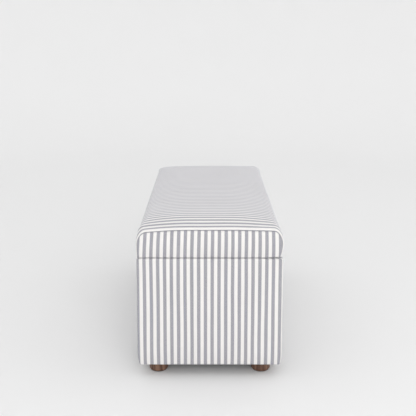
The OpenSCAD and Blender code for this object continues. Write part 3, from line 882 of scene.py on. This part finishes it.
def body_cover():
    section = body_section()
    rings = [plan_ring(inset) for inset, _ in section]
    around = rings[0][1]
    points = np.array([np.column_stack([ring, np.full(len(ring), z)])
                       for (ring, _), (_, z) in zip(rings, section)])
    shape = points.shape[:2]
    flat = points.reshape(-1, 3)
    wave = unevenness(flat, 0.09, 2) * 0.0005 + unevenness(flat, 0.03, 3) * 0.00012

    # A bead of padding along the rim, which fades out before the hinges
    inside = np.minimum(BODY_HALF.x - np.abs(flat[:, 0]), flat[:, 1] + BODY_HALF.y)
    beside = clamped(1 - np.abs(inside - RIM_R) / (RIM_BEAD_W - RIM_R))
    from_back = clamped((BODY_HALF.y - 0.030 - flat[:, 1]) / HINGE_SIDE_FADE)
    bead = np.sin(beside * pi / 2) ** 2 * from_back
    flat[:, 2] += RIM_BEAD * bead * (flat[:, 2] > RIM_Z - RIM_R)

    # Slight waves in the walls
    wall = clamped((flat[:, 2] - UNDERSIDE_Z) / 0.02) * (flat[:, 2] < RIM_Z - 0.001)
    on_wall = np.abs(flat[:, :2]) > np.array(BODY_HALF) - RIM_R - 0.001
    flat[:, :2] += np.sign(flat[:, :2]) * on_wall * (wave * wall)[:, None]
    points[:, -1] = points[:, 0]

    # The join is at the back left corner, and a white stripe stands near the middle of the right end
    right_middle = 2 * (BODY_HALF.x - BODY_CORNER_R) + BODY_CORNER_R * pi / 2
    right_middle += BODY_HALF.y - BODY_CORNER_R
    u = -(around - right_middle) + END_STRIPE_SHIFT
    down = lengths_along(section)
    uv = np.dstack([np.broadcast_to(u, shape), np.broadcast_to(down[:, None], shape)])
    piece = new_piece("body_fabric", flat, grid_faces(grid_index(*shape)), FABRIC, "body",
                      ("body_cover",), uv.reshape(-1, 2))
    cloth_thickness(piece)


body_cover()


# ---- Padding inside ----

WADDING_EDGE_R = 0.0025
WADDING_STEP = 0.010
WADDING_BUMPS = 0.0002


def wadding_block(name, low, high, node):
    """A block of wadding with softly rounded edges and an uneven surface."""
    size = [h - l for l, h in zip(low, high)]
    counts = [max(2, round(s / WADDING_STEP)) for s in size]
    axes = [spread(-1, 1, n) for n in counts]
    numbers = {}
    faces = []
    for axis in range(3):
        a, b = [n for n in range(3) if n != axis]
        for at in (0, counts[axis]):
            outwards = (at > 0) != (axis == 1)
            for i in range(counts[a]):
                for j in range(counts[b]):
                    quad = []
                    for di, dj in ((0, 0), (1, 0), (1, 1), (0, 1)):
                        spot = [at, at, at]
                        spot[a], spot[b] = i + di, j + dj
                        quad.append(numbers.setdefault(tuple(spot), len(numbers)))
                    faces.append(tuple(quad if outwards else reversed(quad)))
    points = [[axes[n][spot[n]] for n in range(3)] for spot in numbers]
    centre = (np.array(low) + np.array(high)) / 2
    half = np.array(size) / 2
    local = np.array(points) * half
    r = min(WADDING_EDGE_R, half.min() * 0.98)
    inner = np.clip(local, -(half - r), half - r)
    away = local - inner
    length = np.linalg.norm(away, axis=1)[:, None]
    at_least = np.maximum(length, 1e-9)
    points = centre + inner + away * (r / at_least) * (length > 1e-9)
    points = points + away / at_least * (unevenness(points, 0.04, 4) * WADDING_BUMPS)[:, None]
    return new_piece(name, points, faces, WADDING, "body", (node,))


def wall_inset(z):
    """How far the body's outline has drawn in at a height, towards the underside and towards the rim."""
    tuck = parabola_in(np.clip(UNDERSIDE_Z + HEM_TUCK_H - z, 0, None), HEM_TUCK_H, HEM_TUCK)
    above = np.clip(z - (RIM_Z - RIM_R), 0, RIM_R)
    return tuck + RIM_R - np.sqrt(RIM_R**2 - above**2)


def wall_wadding(name, node):
    """Wadding over one wall, kept inside the body cover at every height and at its corners."""
    low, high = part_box(node)
    low = [c + WALL_WADDING_CLEAR for c in low]
    high = [c - WALL_WADDING_CLEAR for c in high]
    low[2] += 0.004
    piece = wadding_block(name, low, high, node)
    for vertex in piece.data.vertices:
        inset = float(wall_inset(vertex.co.z)) + CLOTH_T + WALL_WADDING_GAP
        r = max(BODY_CORNER_R - inset, SHARPEST_R)
        centre = BODY_HALF - Vector((inset + r, inset + r))
        out = Vector((abs(vertex.co.x), abs(vertex.co.y))) - centre
        corner = Vector((max(out.x, 0), max(out.y, 0)))
        if corner.length > r:
            kept = corner * (r / corner.length)
            vertex.co.x -= copysign(corner.x - kept.x, vertex.co.x)
            vertex.co.y -= copysign(corner.y - kept.y, vertex.co.y)


for wall, node in (("front", "front"), ("back", "back"), ("left", "left_end"), ("right", "right_end")):
    wall_wadding(f"{wall}_wall_wadding", f"{node}_wadding")


def foam_rings():
    """Rings of the foam, from the left end to the right one, cut off level at the board."""
    rings = []
    shares = np.concatenate([[0.955, 0.975, 0.99, 1.0][::-1], np.linspace(0.93, 0, 30)])
    end = end_x(np.array([LID_Z + END_SWELL_H]))[0]
    for share in list(shares) + [-s for s in reversed(shares[:-1])]:
        section = lid_section(float(crown_rise((1 - abs(share)) * end)))[HEM_STEPS:-HEM_STEPS]
        section = section - outward(section) * FOAM_INSET
        section[:, 1] = np.maximum(section[:, 1], FOAM_Z)
        x = share * (end_x(section[:, 1]) - FOAM_INSET - 0.005)
        rings.append(np.column_stack([x, section]))
    return np.array(rings)


def lid_foam():
    """The foam block on the lid board, with its crowned top."""
    rings = foam_rings()
    points = rings.reshape(-1, 3)
    points = points + np.column_stack([unevenness(points, 0.05, s) * 0.0003 for s in (5, 6, 7)])
    points[:, 2] = np.maximum(points[:, 2], FOAM_Z)
    index = ring_index(*rings.shape[:2])
    faces = grid_faces(index, flip=True)
    faces += [tuple(index[0][:-1]), tuple(reversed(index[-1][:-1]))]
    new_piece("foam_block", points, faces, FOAM, "lid", ("lid_foam",))


def lid_wadding():
    """Wadding over the foam and round the edges of the board, under the covers."""
    covered = (lid_points[:, 2] > LID_Z + 2 * EDGE_R) & (to_seam > 0.009)
    keep = [f for f in lid_faces if covered[list(f)].all()]
    used = sorted({i for f in keep for i in f})
    number = {old: new for new, old in enumerate(used)}
    faces = [tuple(number[i] for i in f) for f in keep]
    points = lid_points[used]
    piece = new_piece("lid_wadding_layer", points, faces, WADDING, "lid", ("lid_wadding",))
    move_points(piece.data, points - normals_of(piece.data) * (CLOTH_T + WADDING_GAP))
    cloth_thickness(piece, 0.0038)


lid_foam()
lid_wadding()


# ---- Lining and backing cloths ----

def box_loop(hx, hy):
    """Points (x, y) round a rectangle about the origin."""
    xs, ys = np.linspace(-hx, hx, 72)[:-1], np.linspace(hy, -hy, 32)[:-1]
    return [(x, hy) for x in xs] + [(hx, y) for y in ys] + [(-x, -hy) for x in xs] + [(-hx, -y) for y in ys]


def lining():
    """Cloth lining glued in the box: up the walls to the flap, with a folded top edge."""
    low, high = LINING_LOW, LINING_HIGH
    centre = (low.xy + high.xy) / 2
    half = high.xy - centre
    floor_z = low.z + 0.0003
    fold_z = high.z - 0.012
    r = 0.006
    wall_in = 0.0006
    section = [(0.0003, high.z - 0.0012), (0.0002, high.z), (0.0012, high.z + 0.0004),
               (0.0016, high.z - 0.001), (0.0016, fold_z), (wall_in, fold_z - 0.0008)]
    section += [(wall_in, z) for z in spread(fold_z - 0.004, floor_z + r, 22)]
    section += [(wall_in + r * (1 - cos(a)), floor_z + r * (1 - sin(a)))
                for a in spread(0, pi / 2, 4)[1:]]
    section += [(d, floor_z) for d in spread(wall_in + r, half.y - 0.0005, 16)[1:]]
    loops = [(box_loop(half.x - inset, half.y - inset), z) for inset, z in section]
    points = np.array([[(centre.x + x, centre.y + y, z) for x, y in loop] for loop, z in loops])
    flat = points.reshape(-1, 3)
    wave = unevenness(flat, 0.07, 8) * 0.0011 + 0.0011
    below_top = high.z - 0.014 - flat[:, 2]
    on_wall = clamped((flat[:, 2] - floor_z) / 0.03) * clamped(below_top / 0.03)
    for axis in (0, 1):
        near_wall = np.abs(flat[:, axis]) > half[axis] - 0.02
        flat[:, axis] -= np.sign(flat[:, axis]) * wave * on_wall * near_wall
    on_floor = clamped((half.x - 0.02 - np.abs(flat[:, 0])) / 0.05) * (flat[:, 2] < floor_z + 0.002)
    flat[:, 2] += on_floor * wave
    faces = grid_faces(ring_index(*points.shape[:2]))
    piece = new_piece("box_lining", flat, faces, LINING, "body", ("lining",))
    cloth_thickness(piece, 0.0008).offset = 1


BACKING_FOLD = 0.008
BACKING_T = 0.0006


def folded_axis(half, steps):
    """Places across a cloth, closer together at its edges."""
    flat_half = half - BACKING_FOLD
    crease = half - BACKING_FOLD * 0.25
    return np.concatenate([[-half, -crease], np.linspace(-flat_half, flat_half, steps), [crease, half]])


def backing_cloth(name, node, body, hem_z):
    """A thin cloth stapled flat over a hem, with its points closer together at the edges and slight
    unevenness away from them.
    """
    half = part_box(node)[1].xy
    xs, ys = folded_axis(half.x, 120), folded_axis(half.y, 46)
    flat = np.array([(x, y, hem_z + BACKING_T) for y in ys for x in xs])
    from_edge = np.minimum(half.x - np.abs(flat[:, 0]), half.y - np.abs(flat[:, 1]))
    flat[:, 2] += unevenness(flat, 0.08, 9) * 0.0004 * clamped((from_edge - 0.012) / 0.06)
    faces = grid_faces(grid_index(len(ys), len(xs)), flip=True)
    piece = new_piece(name, flat, faces, BACKING, body, (node,))
    cloth_thickness(piece, BACKING_T)


lining()
backing_cloth("underside_dust_cloth", "dust_cover", "body", UNDERSIDE_Z)
backing_cloth("lid_backing_cloth", "lid_underside_cover", "lid", LID_Z)


# ---- Feet, felts and bumpers ----

def turned(profile, steps, centre=Vector((0, 0))):
    """Points of a profile (radius, z) turned about an upright axis, and their numbers, ring by ring."""
    turns = np.arange(steps) * 2 * pi / steps
    points = [(centre.x + r * cos(t), centre.y + r * sin(t), z) for r, z in profile for t in turns]
    return points, ring_index(len(profile), steps)


def lathe(name, profile, centre, material, replaces, steps=96):
    """A turned piece of the body from points (radius, z), from its underside to its top, closed at both."""
    points, index = turned(profile, steps, centre)
    faces = grid_faces(index)
    faces += [tuple(reversed(index[0][:-1])), tuple(index[-1][:-1])]
    return new_piece(name, points, faces, material, "body", replaces)


def foot(name, node):
    """A turned foot with a rounded bottom edge, a worn top edge and slight turning marks."""
    low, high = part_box(node)
    r = (high.x - low.x) / 2
    edge_r = 0.005
    turns = spread(-pi / 2, 0, 8)
    profile = [(r - edge_r - 0.012, low.z + 0.0001)]
    profile += [(r - edge_r + edge_r * cos(a), low.z + edge_r + edge_r * sin(a)) for a in turns]
    for k, z in enumerate(spread(low.z + 0.007, high.z - 0.002, 8)):
        profile.append((r - 0.0002 * sin(k * pi / 8) ** 2, z))
    profile += [(r - 0.0006, high.z - 0.0008), (r - 0.0014, high.z - 0.0002), (r - 0.004, high.z - 0.0002)]
    lathe(name, profile, (low.xy + high.xy) / 2, WALNUT, (node,))


for corner in ("front_left", "front_right", "back_left", "back_right"):
    foot(corner + "_turned_foot", corner + "_foot")


def felt_pads():
    """Felt discs under the feet, with soft edges."""
    low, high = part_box("foot_felts")
    foot_low, foot_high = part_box("front_left_foot")
    r = (foot_high.x - foot_low.x) / 2 - 0.003
    profile = [(r - 0.0022, low.z), (r - 0.0006, low.z + 0.0003), (r, low.z + 0.001),
               (r - 0.0004, high.z - 0.0002), (r - 0.002, high.z)]
    for side, word in ((-1, "left"), (1, "right")):
        for depth, depth_word in ((-1, "front"), (1, "back")):
            centre = Vector((side * (high.x - r), depth * (high.y - r)))
            replaces = ("foot_felts",) if (side, depth) == (1, -1) else ()
            pad = lathe(f"{depth_word}_{word}_felt", profile, centre, FELT, replaces, 64)


felt_pads()


def bumpers():
    """Soft domed bumpers on the rim, one for each cluster of points in the CAD node."""
    low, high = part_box("lid_bumpers")
    height = high.z - low.z
    clusters = []
    for vertex in frame["nodes"]["lid_bumpers"].data.vertices:
        near = [c for c in clusters if (vertex.co.xy - c[0].xy).length < 0.02]
        if near:
            near[0].append(vertex.co)
        else:
            clusters.append([vertex.co])
    for i, cluster in enumerate(clusters):
        box = np.array(cluster)
        centre = Vector((box.min(0)[:2] + box.max(0)[:2]) / 2)
        r = (box[:, 0].max() - box[:, 0].min()) / 2
        profile = [(r * 0.98, low.z + 0.0001)]
        for a in spread(0, pi / 2 * 0.93, 7):
            profile.append((r * cos(a), low.z + height * (0.35 + 0.64 * sin(a))))
        replaces = ("lid_bumpers",) if i == 0 else ()
        lathe(f"rim_bumper_{i + 1}", profile, centre, BUMPER, replaces, 40)


bumpers()


# ---- CAD pieces that keep their shape ----

CAD_MATERIALS = {
    "plywood": PLYWOOD,
    "zinc_steel": ZINC,
    "polished_rod": CHROME,
    "dark_metal": DARK_METAL,
}

for part in frame["record"]["subparts"]:
    material = CAD_MATERIALS.get(part["material_slot"])
    if material:
        mesh = frame["nodes"][part["node"]].data
        if len(mesh.materials) == 0:
            mesh.materials.append(material)
        for i in range(len(mesh.materials)):
            mesh.materials[i] = material


# ---- Studio ----

def studio_bowl():
    """A pale floor that sweeps up into a round wall, the same from every side. Its paint holds painted
    shade near the middle of the floor and painted light out on the sweep and the wall.
    """
    floor_r, sweep_r, wall_z = 3.2, 2.2, 4.6
    profile = [(r, 0.0) for r in (0.0, 0.4, 0.8, 1.4, 2.2, floor_r)]
    for a in spread(0, pi / 2, 24)[1:]:
        profile.append((floor_r + sweep_r * sin(a), sweep_r * (1 - cos(a))))
    profile.append((floor_r + sweep_r, wall_z))
    points, index = turned(profile, 96)
    mesh = bpy.data.meshes.new("studio_bowl")
    mesh.from_pydata(points, [], grid_faces(index, flip=True))
    mesh.polygons.foreach_set("use_smooth", [True] * len(mesh.polygons))
    m = Material("studio_paint")
    place = m.place()
    flat_place = m.stretched(place, (1, 1, 0))
    radius = m.node("ShaderNodeVectorMath", flat_place, operation="LENGTH").outputs["Value"]
    # Painted shade and light: the paint is darker towards the middle of the floor and lighter out on the
    # sweep and the wall, with a faint random mottle
    far = m.add(m.range(radius, 1.0, 4.5, 0.0, 0.9), m.times(m.noise(place, 1.3, 2.0), 0.1))
    m.set(Specular_IOR_Level=0.1, Roughness=0.9)
    mesh.materials.append(m.finish(m.mix(far, (0.79, 0.79, 0.79), (0.85, 0.85, 0.85))))
    placed("studio_bowl", mesh)


def soft_light(name, at, aim, size, power):
    data = bpy.data.lights.new(name, "AREA")
    data.shape = "DISK"
    data.size = size
    data.energy = power
    light = placed(name, data)
    light.location = at
    light.rotation_mode = "QUATERNION"
    light.rotation_quaternion = (Vector(aim) - Vector(at)).to_track_quat("-Z", "Y")


def studio():
    studio_bowl()
    soft_light("front", (4.2, 0.8, 1.7), (0, 0, 0.3), 2.6, 61)
    soft_light("side", (0.6, 3.4, 2.4), (0, 0, 0.3), 2.4, 6)
    world = bpy.data.worlds.new("studio_air")
    world.use_nodes = True
    set_inputs(world.node_tree.nodes["Background"], Color=(1.0, 1.0, 1.0, 1), Strength=1.08)
    bpy.context.scene.world = world
    bpy.context.scene.view_settings.view_transform = "Standard"


def camera():
    """The photograph's view: nearly level, from beyond the right end."""
    data = bpy.data.cameras.new("camera")
    data.sensor_width = 36
    data.lens = 60.1
    data.shift_y = -0.20
    data.clip_start, data.clip_end = 0.05, 40
    eye = placed("camera", data)
    eye.location = (2.529, -0.0053, 1.0727)
    tilt_down = radians(7.88)
    eye.rotation_euler = (pi / 2 - tilt_down, 0, pi / 2)
    bpy.context.scene.camera = eye


studio()
camera()
